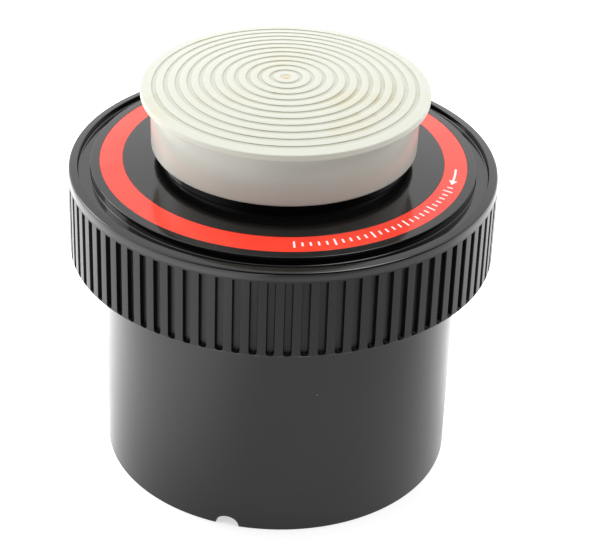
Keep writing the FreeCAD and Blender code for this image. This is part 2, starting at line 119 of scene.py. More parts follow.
# Screw lid.
SKIRT_INNER = 57.5
LIP_INNER = 58.25
LIP_HEIGHT = 92.5
LIP_EDGE = (60.75, 92.15)
LIP_LAND = (60.95, 91.0)
LIP_FOOT = 89.75
CHANNEL_HEIGHT = 90.7
CHANNEL_UNDER = 88.7
RISER_RADIUS = 54.6
PLATE_EDGE = 93.25
PLATE_HOLE = 35.3
PLATE_THICKNESS = 2.2
THREAD_WALL = 53.0
THREAD_WALL_BOTTOM = 69.5
SEAT_HEIGHT = 91.2
RIB_OUTER = 48.0
RIB_INNER = 46.4
RIB_BOTTOM = 87.6
LABEL_INNER = 45.47
LABEL_OUTER = 52.08
LABEL_RECESS = 0.3
LABEL_THICKNESS = 0.24
LABEL_SIDE_GAP = 0.05
LABEL_UNDER_GAP = 0.02
LABEL_EDGE = 0.06
PLATE_SLOPE = (plate_peak - PLATE_EDGE) / (RISER_RADIUS - PLATE_HOLE)

# Grip slots, each closed by a thin rim at the lid's bottom edge. Insets are how far inside a
# slot's outline the rows and columns of the mesh lie.
SLOT_COUNT = 83
SLOT_BEARING = 3.39
SLOT_HALF = 1.1
SLOT_DEPTH = 1.25
SLOT_TOP = 89.15
SLOT_BOTTOM = 66.45
SLOT_WALL = 0.2
SLOT_EASE = 0.05
SLOT_CORNER = 1.0
SLOT_RUN_OUT = 0.4
SIDE_INSETS = (-0.12, -0.05, 0.0, 0.04, 0.08, 0.13, 0.2, 0.35, 0.65)
TOP_INSETS = (-0.12, -0.05, 0.0, 0.04, 0.08, 0.13, 0.2, 0.35)
BOTTOM_INSETS = (1.6, 1.1, 0.8, 0.55, 0.35, 0.2, 0.1, 0.03, -0.02)
BETWEEN_SLOTS = (0.41, 0.5, 0.59)
OUTSIDE_SLOT = -1.0
# DARK_SHARE is the depth share past which a slot face takes the darker finish, painted shade.
DARK_SHARE = 0.15
# A band at the lid's bottom edge, painted with a grey highlight that is partly wear.
HIGHLIT_WORN_BAND = 0.12
TOLERANCE = 0.01

# Funnel.
COLLAR_RADIUS = 35.25
COLLAR_INNER = 33.2
BEAD_RADIUS = 35.85
BEAD_LOW = 106.0
BEAD_HIGH = 110.5
BEAD_RAMP = 1.5
BOWL_TOP = 93.0
BOWL_UNDER = 90.8
THROAT_RADIUS = 14.3
THROAT_TOP = 80.0
THROAT_SHOULDER = 78.6
FUNNEL_WALL = 2.0
FLANGE_GAP = 0.05

# Cap.
CAP_EDGE_TOP = 115.75
CAP_EDGE_UNDER = 113.9
CAP_RIM_ROUND = 0.3
CAP_SKIRT_TOP = 37.74
CAP_SKIRT_LOW = 37.5
CAP_SKIRT_INNER = 35.92
CAP_CEILING = 114.4
CAP_CEILING_LOW = 113.8
CAP_LIP_OUTER = 32.9
CAP_LIP_INNER = 31.4
CAP_LIP_BOTTOM = 108.0
GROOVE_COUNT = 11
GROOVE_FIRST = 4.08
GROOVE_PITCH = 3.264
GROOVE_WIDTH = 1.26
GROOVE_DEPTH = 0.28
GROOVE_DRAFT = 0.03
GROOVE_EDGE = 0.06
GROOVE_FLOOR = 0.05
NUB_RADIUS = 1.7
NUB_DEPTH = 0.22
NUB_CENTRE_DEPTH = 0.04
NUB_SHARES = (0.85, 0.5, 0.35)
NUB_EDGE = 0.08
NUB_ROUND = 0.1

# Printed marks on the label: angles in degrees.
MARK_MIDDLE = 48.8
MARK_START = -86.0
MARK_STEP = 2.6
MARK_COUNT = 27
MARK_GROUP = 5
MARK_HALF_WIDE = 0.33
MARK_LONG = 1.35
MARK_SHORT = 0.8
ARROW_START = -13.5
ARROW_TURN = 8
ARROW_HEAD = 2.8
ARROW_HEAD_HALF = 1.2
ARROW_SHAFT_HALF = 0.3
INK_HEIGHT = 0.02


# ---------------------------------------------------------------- mesh tools

def rounded(corners):
    """Turn (r, z, fillet, tag) corners of a closed outline into (r, z, tag) points with arcs."""
    points = []
    count = len(corners)
    for index, (r, z, fillet, tag) in enumerate(corners):
        before = corners[index - 1]
        after = corners[(index + 1) % count]
        if fillet <= 0:
            points.append((r, z, tag))
            continue
        spot = Vector((r, z))
        to_before = (Vector(before[:2]) - spot).normalized()
        to_after = (Vector(after[:2]) - spot).normalized()
        half = to_before.angle(to_after) / 2
        back = fillet / math.tan(half)
        centre = spot + (to_before + to_after).normalized() * (fillet / math.sin(half))
        start = spot + to_before * back - centre
        finish = spot + to_after * back - centre
        steps = ARC_STEPS + int(2 * min(fillet, 1.0))
        for step in range(steps + 1):
            share = step / steps
            swing = start.lerp(finish, share).normalized() * fillet
            points.append((centre.x + swing.x, centre.y + swing.y, tag))
    return points


def even_angles():
    """Angles evenly round the axis, in radians."""
    return [2 * math.pi * step / EVEN_STEPS for step in range(EVEN_STEPS)]


def turned(name, points, angles=None, shape=None, retag=None):
    """A mesh turned about the Z axis from (r, z, tag) points; a tag is the material's index.

    shape may move a point: it takes the angle, r and z, and gives r and z. retag may change a
    face's tag: it takes the angle, r, z and the tag.
    """
    angles = angles or even_angles()
    count = len(points)
    poles = {}
    vertices = []
    index_of = {}
    for column, angle in enumerate(angles):
        for row, (r, z, _) in enumerate(points):
            if r == 0:
                if row not in poles:
                    poles[row] = len(vertices)
                    vertices.append((0, 0, z * MM))
                index_of[column, row] = poles[row]
                continue
            if shape:
                r, z = shape(angle, r, z)
            index_of[column, row] = len(vertices)
            vertices.append((r * math.cos(angle) * MM, r * math.sin(angle) * MM, z * MM))
    faces = []
    tags = []
    for column in range(len(angles)):
        following = (column + 1) % len(angles)
        for row in range(count):
            below = (row + 1) % count
            corners = [index_of[column, row], index_of[following, row],
                       index_of[following, below], index_of[column, below]]
            ring = list(dict.fromkeys(corners))
            if len(ring) > 2:
                faces.append(ring)
                r, z, tag = points[row]
                tags.append(retag(angles[column], r, z, tag) if retag else tag)
    mesh = bpy.data.meshes.new(name)
    mesh.from_pydata(vertices, [], faces)
    mesh.polygons.foreach_set("material_index", tags)
    mesh.update()
    return new_piece(name, mesh)


def new_piece(name, mesh):
    """Link a mesh as a smooth-shaded piece, with its faces turned outwards."""
    mesh.validate()
    shell = bmesh.new()
    shell.from_mesh(mesh)
    bmesh.ops.recalc_face_normals(shell, faces=shell.faces)
    shell.to_mesh(mesh)
    shell.free()
    mesh.shade_smooth()
    piece = bpy.data.objects.new(name, mesh)
    bpy.context.scene.collection.objects.link(piece)
    return piece


def settle(piece, body, materials, nodes=()):
    """Give a piece its materials, sharp edges and body, and hide the CAD nodes it stands for."""
    for material in materials:
        piece.data.materials.append(material)
    piece.data.set_sharp_from_angle(angle=SHARP_ANGLE * DEG)
    weigh = piece.modifiers.new("face_weights", "WEIGHTED_NORMAL")
    weigh.keep_sharp = True
    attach(piece, body)
    if nodes:
        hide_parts(*nodes)


def thread_mesh(name, wall, crest, height):
    """The ridges of a multi-start thread, each a swept trapezium standing on a wall."""
    sides = 4
    vertices = []
    faces = []
    section = [(wall, -THREAD_ROOT / 2), (crest, -THREAD_CREST / 2),
               (crest, THREAD_CREST / 2), (wall, THREAD_ROOT / 2)]
    for start in range(THREAD_STARTS):
        first = len(vertices)
        for step in range(THREAD_STEPS + 1):
            turn = THREAD_TURNS * step / THREAD_STEPS
            angle = 2 * math.pi * (start / THREAD_STARTS + turn)
            for r, z in section:
                vertices.append((r * math.cos(angle) * MM, r * math.sin(angle) * MM,
                                 (height + z + THREAD_LEAD * turn) * MM))
        for step in range(THREAD_STEPS):
            base = first + sides * step
            for side in range(sides):
                following = (side + 1) % sides
                faces.append((base + side, base + following,
                              base + sides + following, base + sides + side))
        faces.append((first + 3, first + 2, first + 1, first))
        last = first + sides * THREAD_STEPS
        faces.append((last, last + 1, last + 2, last + 3))
    mesh = bpy.data.meshes.new(name)
    mesh.from_pydata(vertices, [], faces)
    mesh.update()
    return new_piece(name, mesh)


# ---------------------------------------------------------------- materials

def set_range(node, low, high, start, end):
    """Set a Map Range node to map low..high to start..end, clamped and smooth."""
    node.interpolation_type = "SMOOTHSTEP"
    for key, number in (("From Min", low), ("From Max", high),
                        ("To Min", start), ("To Max", end)):
        node.inputs[key].default_value = number


class Nodes:
    """A short way to write a material's nodes."""

    def __init__(self, name):
        self.material = bpy.data.materials.new(name)
        self.material.use_nodes = True
        self.tree = self.material.node_tree
        self.shader = self.tree.nodes["Principled BSDF"]
        self.place = self.tree.nodes.new("ShaderNodeTexCoord").outputs["Object"]

    def add(self, kind, **inputs):
        """A node with its inputs set or linked by name."""
        node = self.tree.nodes.new(kind)
        for key, value in inputs.items():
            self.feed(node.inputs[key.replace("_", " ")], value)
        return node

    def feed(self, socket, value):
        """Link an output, or set a value."""
        if isinstance(value, bpy.types.NodeSocket):
            self.tree.links.new(value, socket)
        else:
            socket.default_value = value

    def noise(self, scale, detail=3.0, roughness=0.5, place=None):
        """Noise between about 0.3 and 0.7."""
        return self.add("ShaderNodeTexNoise", Vector=place or self.place, Scale=scale,
                        Detail=detail, Roughness=roughness).outputs["Fac"]

    def ramp(self, value, low, high, start=0.0, end=1.0):
        """Map low..high to start..end, clamped and smooth."""
        node = self.tree.nodes.new("ShaderNodeMapRange")
        self.feed(node.inputs["Value"], value)
        set_range(node, low, high, start, end)
        return node.outputs["Result"]

    def math(self, operation, first, second=0.0):
        """A math node."""
        node = self.tree.nodes.new("ShaderNodeMath")
        node.operation = operation
        self.feed(node.inputs[0], first)
        self.feed(node.inputs[1], second)
        return node.outputs[0]

    def blend(self, share, first, second):
        """Mix two colours."""
        node = self.tree.nodes.new("ShaderNodeMix")
        node.data_type = "RGBA"
        self.feed(node.inputs["Factor"], share)
        self.feed(node.inputs["A"], first)
        self.feed(node.inputs["B"], second)
        return node.outputs["Result"]

    def stretched(self, x, y, z):
        """The place, scaled along the axes."""
        node = self.tree.nodes.new("ShaderNodeVectorMath")
        node.operation = "MULTIPLY"
        self.feed(node.inputs[0], self.place)
        node.inputs[1].default_value = (x, y, z)
        return node.outputs[0]

    def radius(self):
        """The distance from the object's axis."""
        node = self.tree.nodes.new("ShaderNodeVectorMath")
        node.operation = "LENGTH"
        self.feed(node.inputs[0], self.stretched(1.0, 1.0, 0.0))
        return node.outputs["Value"]

    def rings(self, scale):
        """Noise that changes only with the distance from the axis."""
        node = self.tree.nodes.new("ShaderNodeTexNoise")
        node.noise_dimensions = "1D"
        self.feed(node.inputs["W"], self.radius())
        node.inputs["Scale"].default_value = scale
        return node.outputs["Fac"]

    def specks(self, scale, size, share):
        """Small round specks, in a share of the cells of a Voronoi pattern."""
        cells = self.add("ShaderNodeTexVoronoi", Vector=self.place, Scale=scale)
        near = self.ramp(cells.outputs["Distance"], size, size * 0.5)
        split = self.tree.nodes.new("ShaderNodeSeparateColor")
        self.feed(split.inputs[0], cells.outputs["Color"])
        chosen = self.ramp(split.outputs[0], 1 - share, 1 - share + 0.002)
        return self.math("MULTIPLY", near, chosen)

    def bump(self, height, distance, strength=1.0):
        """Bump the surface by a height in millimetres."""
        node = self.tree.nodes.new("ShaderNodeBump")
        node.inputs["Strength"].default_value = strength
        node.inputs["Distance"].default_value = distance * MM
        self.feed(node.inputs["Height"], height)
        self.feed(self.shader.inputs["Normal"], node.outputs[0])

    def set(self, **inputs):
        """Set or link the shader's inputs by name."""
        for key, value in inputs.items():
            self.feed(self.shader.inputs[key.replace("_", " ")], value)
        return self.material


def grey(value):
    """A neutral colour."""
    return (value, value, value * 1.02, 1.0)


def black_plastic(name, shade, gloss, scuff, dust, grain=1.0, bend=1.45, shine=0.5):
    """Moulded black styrene: a soft gloss with a fine grain, faint scuffs and a little dust.

    shade is the base grey, gloss the roughness, scuff and dust the shares of wear and motes,
    grain the bump, bend the IOR and shine the specular level.
    """
    n = Nodes(name)
    cloud = n.noise(28.0, 4.0)
    hairs = n.ramp(n.noise(110.0, 2.0, 0.6, n.stretched(1.0, 1.0, 9.0)), 0.67, 0.73)
    worn = n.math("MULTIPLY", hairs, n.ramp(cloud, 0.52, 0.66, 0.0, scuff))
    motes = n.specks(450.0, 0.1, 0.014 * dust)
    smears = n.ramp(cloud, 0.35, 0.68, gloss * 0.85, gloss * 1.25)
    rough = n.math("ADD", smears, n.math("MULTIPLY", n.math("MAXIMUM", worn, motes), 0.3))
    tone = n.blend(n.ramp(cloud, 0.35, 0.65), grey(shade * 0.85), grey(shade * 1.25))
    tone = n.blend(worn, tone, grey(shade * 3))
    height = n.math("ADD", n.noise(45.0, 2.0), n.math("MULTIPLY", n.noise(2600.0, 2.0), 0.16))
    n.bump(height, 0.03 * grain)
    return n.set(Base_Color=n.blend(motes, tone, grey(0.35)), Roughness=rough, IOR=bend,
                 Specular_IOR_Level=shine)


def highlit_worn_edge_finish():
    """The lid's bottom edge as a broken grey line: a painted highlight, partly rubbed wear."""
    n = Nodes("grip_edge_highlit_worn")
    # Where the broken line is grey: painted highlight and wear.
    highlight_rub = n.ramp(n.noise(420.0, 3.0, 0.6), 0.4, 0.62)
    tone = n.blend(highlight_rub, grey(0.02), grey(0.15))
    n.bump(n.noise(900.0, 3.0), 0.03)
    return n.set(Base_Color=tone, Roughness=n.ramp(highlight_rub, 0.0, 1.0, 0.3, 0.5), IOR=1.45)


def cap_plastic(name, colour, stain, stained, gloss):
    """Soft cream polyethylene, slightly waxy, with turned marks and yellow-brown stains."""
    n = Nodes(name)
    patches = n.noise(48.0, 4.0, 0.55)
    spots = n.ramp(n.noise(260.0, 3.0, 0.6), 0.55, 0.72)
    soil = n.math("MAXIMUM", n.ramp(patches, 0.54, 0.76, 0.0, stained),
                  n.math("MULTIPLY", spots, n.ramp(patches, 0.52, 0.66, 0.0, stained)))
    turned_marks = n.rings(2300.0)
    darker = tuple(0.975 * part for part in colour[:3]) + (1,)
    tone = n.blend(n.ramp(turned_marks, 0.3, 0.7), colour, darker)
    rough = n.ramp(n.noise(300.0, 3.0), 0.3, 0.7, gloss * 0.85, gloss * 1.2)
    n.bump(n.math("ADD", n.noise(700.0, 3.0), turned_marks), 0.012)
    return n.set(Base_Color=n.blend(soil, tone, stain), Roughness=rough, IOR=1.5,
                 Subsurface_Weight=0.12, Subsurface_Radius=(1.0, 0.8, 0.6), Subsurface_Scale=0.002)


def label_plastic():
    """Red printed film, glossy."""
    n = Nodes("label_red_print")
    tone = n.blend(n.ramp(n.noise(60.0, 3.0), 0.35, 0.65),
                   (0.88, 0.040, 0.018, 1), (0.95, 0.056, 0.026, 1))
    motes = n.specks(500.0, 0.1, 0.006)
    n.bump(n.noise(120.0, 2.0), 0.02)
    return n.set(Base_Color=n.blend(motes, tone, (0.95, 0.5, 0.45, 1)),
                 Roughness=n.ramp(n.noise(800.0, 2.0), 0.3, 0.7, 0.1, 0.16), IOR=1.5)


def white_ink():
    """Printed white marks."""
    n = Nodes("label_white_ink")
    tone = n.blend(n.noise(300.0, 3.0), (0.80, 0.79, 0.77, 1), (0.93, 0.92, 0.90, 1))
    return n.set(Base_Color=tone, Roughness=n.ramp(n.noise(500.0), 0.3, 0.7, 0.2, 0.3), IOR=1.5)


def rubber():
    """Matt black rubber."""
    n = Nodes("gasket_rubber_matt")
    n.bump(n.noise(1500.0, 3.0), 0.04)
    return n.set(Base_Color=n.blend(n.noise(80.0), grey(0.02), grey(0.035)),
                 Roughness=n.ramp(n.noise(400.0), 0.3, 0.7, 0.6, 0.8))


def white_nylon():
    """White nylon, a little waxy."""
    n = Nodes("reel_white_nylon")
    n.bump(n.noise(900.0, 2.0), 0.02)
    return n.set(Base_Color=n.blend(n.noise(60.0), (0.78, 0.78, 0.74, 1), (0.86, 0.86, 0.83, 1)),
                 Roughness=n.ramp(n.noise(300.0), 0.3, 0.7, 0.35, 0.5))


def steel():
    """Polished steel."""
    n = Nodes("ball_polished_steel")
    return n.set(Base_Color=n.blend(n.noise(500.0), grey(0.55), grey(0.7)), Metallic=1.0,
                 Roughness=n.ramp(n.noise(900.0), 0.3, 0.7, 0.08, 0.2))


def red_clip():
    """Red moulded plastic."""
    n = Nodes("clip_red_plastic")
    n.bump(n.noise(900.0, 2.0), 0.02)
    return n.set(Base_Color=n.blend(n.noise(90.0), (0.52, 0.02, 0.015, 1), (0.62, 0.03, 0.02, 1)),
                 Roughness=n.ramp(n.noise(400.0), 0.3, 0.7, 0.3, 0.45))


CREAM = (0.59, 0.60, 0.53, 1)
CREAM_STAIN = (0.58, 0.52, 0.32, 1)
# Groove floors: a darker, greyer cream, painted shade in the grooves; their stains are real.
GROOVE_CREAM_SHADED = (0.53, 0.54, 0.46, 1)
# Skirt: a darker, less red cream, painted shade on the skirt, with less of the red label's bounce
# light.
SKIRT_CREAM_SHADED = (0.56, 0.59, 0.53, 1)
GROOVE_STAIN = (0.42, 0.33, 0.18, 1)
NUB_CREAM = (0.60, 0.53, 0.38, 1)

tank_black = black_plastic("tank_black_satin", shade=0.005, gloss=0.2, scuff=0.5, dust=1.0)
lid_black = black_plastic("lid_black_gloss", shade=0.004, gloss=0.09, scuff=0.08, dust=1.0,
                          grain=0.12, bend=1.55)
grip_black = black_plastic("grip_black_satin", shade=0.004, gloss=0.26, scuff=0.3, dust=0.6,
                           shine=0.4)
# Slot floors: a little darker and rougher than the grip, painted shade in the slots.
slot_painted_shade = black_plastic("grip_slot_painted_shade", shade=0.003, gloss=0.42, scuff=0.0, dust=0.6,
                           shine=0.42)
highlit_worn_edge = highlit_worn_edge_finish()
funnel_black = black_plastic("funnel_black_gloss", shade=0.005, gloss=0.1, scuff=0.2, dust=1.0,
                             grain=0.5, bend=1.55)
column_black = black_plastic("column_black_satin", shade=0.010, gloss=0.3, scuff=0.2, dust=0.3)
cream = cap_plastic("cap_cream", CREAM, CREAM_STAIN, stained=0.35, gloss=0.42)
cream_groove_shaded_stained = cap_plastic("cap_groove_cream_shaded_stained", GROOVE_CREAM_SHADED, GROOVE_STAIN, stained=0.6, gloss=0.5)
cream_skirt_shaded = cap_plastic("cap_skirt_cream_shaded", SKIRT_CREAM_SHADED, CREAM_STAIN, stained=0.1, gloss=0.22)
cream_nub = cap_plastic("cap_nub_cream", NUB_CREAM, GROOVE_STAIN, stained=0.6, gloss=0.42)
label_red = label_plastic()
ink_white = white_ink()


# ---------------------------------------------------------------- tank
# An outline below is a list of (radius, height, fillet radius, material index) corners.

def notch_angles():
    """Even angles, with more of them across the drain notch."""
    half = NOTCH_HALF_WIDE / TANK_RADIUS
    middle = NOTCH_ANGLE * DEG % (2 * math.pi)
    dense = [middle - half * math.cos(math.pi * step / NOTCH_STEPS)
             for step in range(NOTCH_STEPS + 1)]
    margin = half * NOTCH_MARGIN
    plain = [angle for angle in even_angles() if abs(angle - middle) > margin]
    return sorted(plain + dense)


def make_tank():
    """The tank: wall, rim, recessed base with its drain notch, floor and boss."""
    corners = [
        (0, BASE_RECESS, 0, 0),
        (TANK_BORE, BASE_RECESS, 0, 0),
        (TANK_BORE, 0, FOOT_ROUND, 0),
        (TANK_RADIUS, 0, FOOT_ROUND, 0),
        (TANK_TOP_RADIUS, tank_rim, 0.4, 0),
        (TANK_BORE, tank_rim, 0.4, 0),
        (TANK_BORE, FLOOR_HEIGHT, 0.8, 0),
        (BOSS_RADIUS, FLOOR_HEIGHT, 0.3, 0),
        (BOSS_RADIUS, FLOOR_HEIGHT + BOSS_HEIGHT, 0.3, 0),
        (0, FLOOR_HEIGHT + BOSS_HEIGHT, 0, 0),
    ]
    middle = NOTCH_ANGLE * DEG % (2 * math.pi)

    def lift(angle, r, z):
        side = (angle - middle) * TANK_RADIUS / NOTCH_HALF_WIDE
        if z > BASE_RECESS - NOTCH_CLEARANCE or abs(side) > 1:
            return r, z
        return r, z + NOTCH_HEIGHT * math.sqrt(max(0.0, 1 - side * side))

    tank = turned("tank_shell", rounded(corners), notch_angles(), lift)
    settle(tank, "tank", [tank_black], ["tank_body"])
    ridges = thread_mesh("tank_thread_ridges", TANK_TOP_RADIUS - THREAD_EMBED,
                         TANK_TOP_RADIUS + THREAD_DEPTH, THREAD_HEIGHT)
    settle(ridges, "tank", [tank_black])


# ---------------------------------------------------------------- screw lid

def plate_height(radius):
    """The sloping plate's height at a radius."""
    return plate_peak - PLATE_SLOPE * (radius - PLATE_HOLE)


def slot_columns():
    """The grip's columns round the lid: each angle, and how far inside a slot's sides it lies."""
    pitch = 2 * math.pi / SLOT_COUNT
    columns = {}
    for slot in range(SLOT_COUNT):
        middle = pitch * slot + SLOT_BEARING * DEG
        columns[middle] = SLOT_HALF
        for inset in SIDE_INSETS:
            turn = (SLOT_HALF - inset) / lid_radius
            columns[middle - turn] = inset
            columns[middle + turn] = inset
        for share in BETWEEN_SLOTS:
            columns[middle + share * pitch] = OUTSIDE_SLOT
    return dict(sorted(columns.items()))


def slot_share(side, z):
    """The share of a slot's depth at an inset from its sides and a height."""
    top = SLOT_TOP - z
    bottom = z - SLOT_BOTTOM
    inset = min(side, top)
    if side < SLOT_CORNER and bottom < SLOT_CORNER:
        inset = min(inset, SLOT_CORNER - math.hypot(SLOT_CORNER - side, SLOT_CORNER - bottom))
    wall = min(1.0, max(0.0, (inset + SLOT_EASE) / (SLOT_WALL + SLOT_EASE)))
    rest = 1 - min(1.0, max(0.0, bottom / SLOT_RUN_OUT))
    return wall * wall * (3 - 2 * wall) * math.sqrt(1 - rest * rest)


def make_lid():
    """The screw lid: plate, label recess, channel, lip, threaded wall, ridges and grip."""
    corners = [
        (PLATE_HOLE, plate_peak - PLATE_THICKNESS, 0, 0),
        (PLATE_HOLE, plate_peak, 0.2, 0),
        (LABEL_INNER, plate_height(LABEL_INNER), LABEL_EDGE, 0),
        (LABEL_INNER, plate_height(LABEL_INNER) - LABEL_RECESS, 0, 0),
        (LABEL_OUTER, plate_height(LABEL_OUTER) - LABEL_RECESS, 0, 0),
        (LABEL_OUTER, plate_height(LABEL_OUTER), LABEL_EDGE, 0),
        (RISER_RADIUS, PLATE_EDGE, 0.22, 0),
        (RISER_RADIUS, CHANNEL_HEIGHT, 0.3, 0),
        (LIP_INNER, CHANNEL_HEIGHT, 0.5, 0),
        (LIP_INNER, LIP_HEIGHT, 0.25, 0),
        (*LIP_EDGE, 0.75, 0),
        (*LIP_LAND, 4.0, 0),
        (lid_radius, LIP_FOOT, 0, 1),
        (SKIRT_INNER, CHANNEL_UNDER, 0, 1),
        (RISER_RADIUS, CHANNEL_UNDER, 0.3, 1),
        (RISER_RADIUS, THREAD_WALL_BOTTOM, 0.3, 1),
        (THREAD_WALL, THREAD_WALL_BOTTOM, 0.3, 1),
        (THREAD_WALL, SEAT_HEIGHT, 0, 1),
        (RIB_OUTER, SEAT_HEIGHT, 0, 1),
        (RIB_OUTER, RIB_BOTTOM, 0.3, 1),
        (RIB_INNER, RIB_BOTTOM, 0.3, 1),
        (RIB_INNER, plate_height(RIB_INNER) - PLATE_THICKNESS, 0, 1),
    ]
    lid = turned("lid_plate", rounded(corners))
    settle(lid, "lid", [lid_black, grip_black], ["screw_lid"])
    ridges = thread_mesh("lid_thread_ridges", THREAD_WALL + THREAD_EMBED,
                         THREAD_WALL - THREAD_DEPTH, THREAD_HEIGHT - THREAD_DROP)
    settle(ridges, "lid", [grip_black])
    make_grip()


def make_grip():
    """The lid's ribbed grip, from the lip's foot down to the lid's bottom edge."""
    slot_rows = [(lid_radius, SLOT_TOP - inset, 0, 0) for inset in TOP_INSETS]
    slot_rows += [(lid_radius, SLOT_BOTTOM + inset, 0, 0) for inset in BOTTOM_INSETS]
    corners = [
        (SKIRT_INNER, CHANNEL_UNDER, 0, 0),
        (lid_radius, LIP_FOOT, 0, 0),
        *slot_rows,
        # The bottom band: a painted highlight, partly wear.
        (lid_radius, lid_bottom + HIGHLIT_WORN_BAND, 0, 2),
        (lid_radius, lid_bottom, 0.1, 2),
        (SKIRT_INNER, lid_bottom, 0.3, 0),
    ]
    side_at = slot_columns()

    def depth_share(angle, r, z):
        return slot_share(side_at[angle], z) if r > lid_radius - TOLERANCE else 0.0

    def ribbed(angle, r, z):
        return r - SLOT_DEPTH * depth_share(angle, r, z), z

    # Faces deep in a slot take the darker slot finish: painted shade.
    def inside_slot(angle, r, z, tag):
        return 1 if depth_share(angle, r, z) > DARK_SHARE else tag

    grip = turned("ribbed_grip", rounded(corners), list(side_at), ribbed, inside_slot)
    settle(grip, "lid", [grip_black, slot_painted_shade, highlit_worn_edge], ["screw_lid"])


# ---------------------------------------------------------------- label

def label_height(radius, lift=0.0):
    """The label's face at a radius."""
    return plate_height(radius) - LABEL_RECESS + LABEL_THICKNESS + lift


def make_label():
    """The red ring in the plate's recess."""
    inner = LABEL_INNER + LABEL_SIDE_GAP
    outer = LABEL_OUTER - LABEL_SIDE_GAP
    corners = [
        (inner, label_height(inner) - LABEL_THICKNESS + LABEL_UNDER_GAP, 0, 0),
        (outer, label_height(outer) - LABEL_THICKNESS + LABEL_UNDER_GAP, 0, 0),
        (outer, label_height(outer), LABEL_EDGE, 0),
        (inner, label_height(inner), LABEL_EDGE, 0),
    ]
    ring = turned("red_label", rounded(corners))
    settle(ring, "lid", [label_red], ["label_ring"])


def print_mark(vertices, faces, outline):
    """Add a printed mark, a thin prism on the label, from (radius, angle in degrees) corners."""
    first = len(vertices)
    count = len(outline)
    for lift in (INK_HEIGHT, -INK_HEIGHT):
        for radius, angle in outline:
            vertices.append((radius * math.cos(angle * DEG) * MM,
                             radius * math.sin(angle * DEG) * MM,
                             label_height(radius, lift) * MM))
    faces.append(tuple(range(first, first + count)))
    faces.append(tuple(reversed(range(first + count, first + 2 * count))))
    for corner in range(count):
        following = (corner + 1) % count
        faces.append((first + corner, first + following,
                      first + count + following, first + count + corner))


def make_label_marks():
    """Generic printed marks: evenly spaced ticks and a closing arrow, with no lettering."""
    vertices = []
    faces = []
    for tick in range(MARK_COUNT):
        angle = MARK_START + tick * MARK_STEP
        half = MARK_SHORT if tick % MARK_GROUP else MARK_LONG
        print_mark(vertices, faces, [
            (MARK_MIDDLE - half, angle - MARK_HALF_WIDE),
            (MARK_MIDDLE + half, angle - MARK_HALF_WIDE),
            (MARK_MIDDLE + half, angle + MARK_HALF_WIDE),
            (MARK_MIDDLE - half, angle + MARK_HALF_WIDE),
        ])
    shaft = range(ARROW_TURN + 1)
    outer = [(MARK_MIDDLE + ARROW_SHAFT_HALF, ARROW_START + step) for step in shaft]
    inner = [(MARK_MIDDLE - ARROW_SHAFT_HALF, ARROW_START + step) for step in reversed(shaft)]
    head = [(MARK_MIDDLE - ARROW_HEAD_HALF, ARROW_START),
            (MARK_MIDDLE, ARROW_START - ARROW_HEAD),
            (MARK_MIDDLE + ARROW_HEAD_HALF, ARROW_START)]
    print_mark(vertices, faces, head)
    print_mark(vertices, faces, outer + inner)
    mesh = bpy.data.meshes.new("label_marks")
    mesh.from_pydata(vertices, [], faces)
    marks = new_piece("label_marks", mesh)
    settle(marks, "lid", [ink_white])


# ---------------------------------------------------------------- funnel

def make_funnel():
    """The collar with its snap bead, the bowl and the throat."""
    under = plate_peak - PLATE_THICKNESS - FLANGE_GAP
    flange_top = under - PLATE_SLOPE * (funnel_flange - PLATE_HOLE)
    corners = [
        (THROAT_RADIUS, throat_bottom, 0.4, 0),
        (THROAT_RADIUS + FUNNEL_WALL, throat_bottom, 0.4, 0),
        (THROAT_RADIUS + FUNNEL_WALL, THROAT_SHOULDER, 1.0, 0),
        (COLLAR_RADIUS, BOWL_UNDER, 0.5, 0),
        (funnel_flange, flange_top - FUNNEL_WALL, 0.3, 0),
        (funnel_flange, flange_top, 0.3, 0),
        (COLLAR_RADIUS, under, 0, 0),
        (COLLAR_RADIUS, BEAD_LOW, 0, 0),
        (BEAD_RADIUS, BEAD_LOW + BEAD_RAMP, 0.8, 0),
        (BEAD_RADIUS, BEAD_HIGH - BEAD_RAMP, 0.8, 0),
        (COLLAR_RADIUS, BEAD_HIGH, 0, 0),
        (COLLAR_RADIUS, collar_top, 0.6, 0),
        (COLLAR_INNER, collar_top, 0.6, 0),
        (COLLAR_INNER, BOWL_TOP, 2.5, 0),
        (THROAT_RADIUS, THROAT_TOP, 1.2, 0),
    ]
    funnel = turned("pouring_funnel", rounded(corners))
    settle(funnel, "lid", [funnel_black], ["light_trap_funnel"])


# ---------------------------------------------------------------- cap

